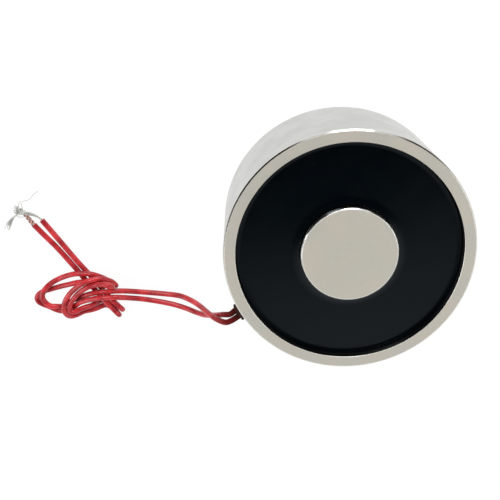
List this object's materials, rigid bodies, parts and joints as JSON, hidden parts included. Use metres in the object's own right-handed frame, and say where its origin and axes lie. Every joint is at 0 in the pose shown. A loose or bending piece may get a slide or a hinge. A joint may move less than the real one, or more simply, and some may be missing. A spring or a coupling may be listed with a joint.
{
  "type": "holding electromagnet",
  "caption": "Round potted holding electromagnet: steel pot with a central pole, resin over the coil, and two red leads tied in a knot with bare twisted ends.",
  "frame": {"origin": "centre of the flat back face, which stands on the surface", "axes": "+Z along the magnet's axis from the back face to the holding face, +X to the right and +Y up as the picture shows the holding face; the leads leave towards -X and -Y"},
  "size_m": [0.1595, 0.08, 0.038],
  "materials": {
    "plated_steel": "turned steel, nickel-plated, satin",
    "plated_pole": "ground steel, nickel-plated, satin",
    "black_resin": "poured resin, smooth, half gloss",
    "nylon": "moulded, natural colour",
    "copper_wire": "enamelled copper wire",
    "yellow_tape": "polyester film tape",
    "dark_sleeving": "varnished sleeving",
    "solder": "soft solder",
    "red_insulation": "extruded soft insulation, satin",
    "tinned_strands": "tinned fine copper strands"
  },
  "bodies": {
    "root": {"shell": "plated_steel", "core": "plated_pole", "potting": "black_resin", "bobbin": "nylon", "winding": "copper_wire", "coil_tape": "yellow_tape", "exit_sleeve": "dark_sleeving", "splice_1": "solder", "splice_2": "solder", "splice_1_tube": "dark_sleeving", "splice_2_tube": "dark_sleeving", "lead_1": "red_insulation", "lead_2": "red_insulation", "lead_1_strands": "tinned_strands", "lead_2_strands": "tinned_strands"}
  },
  "joints": []
}
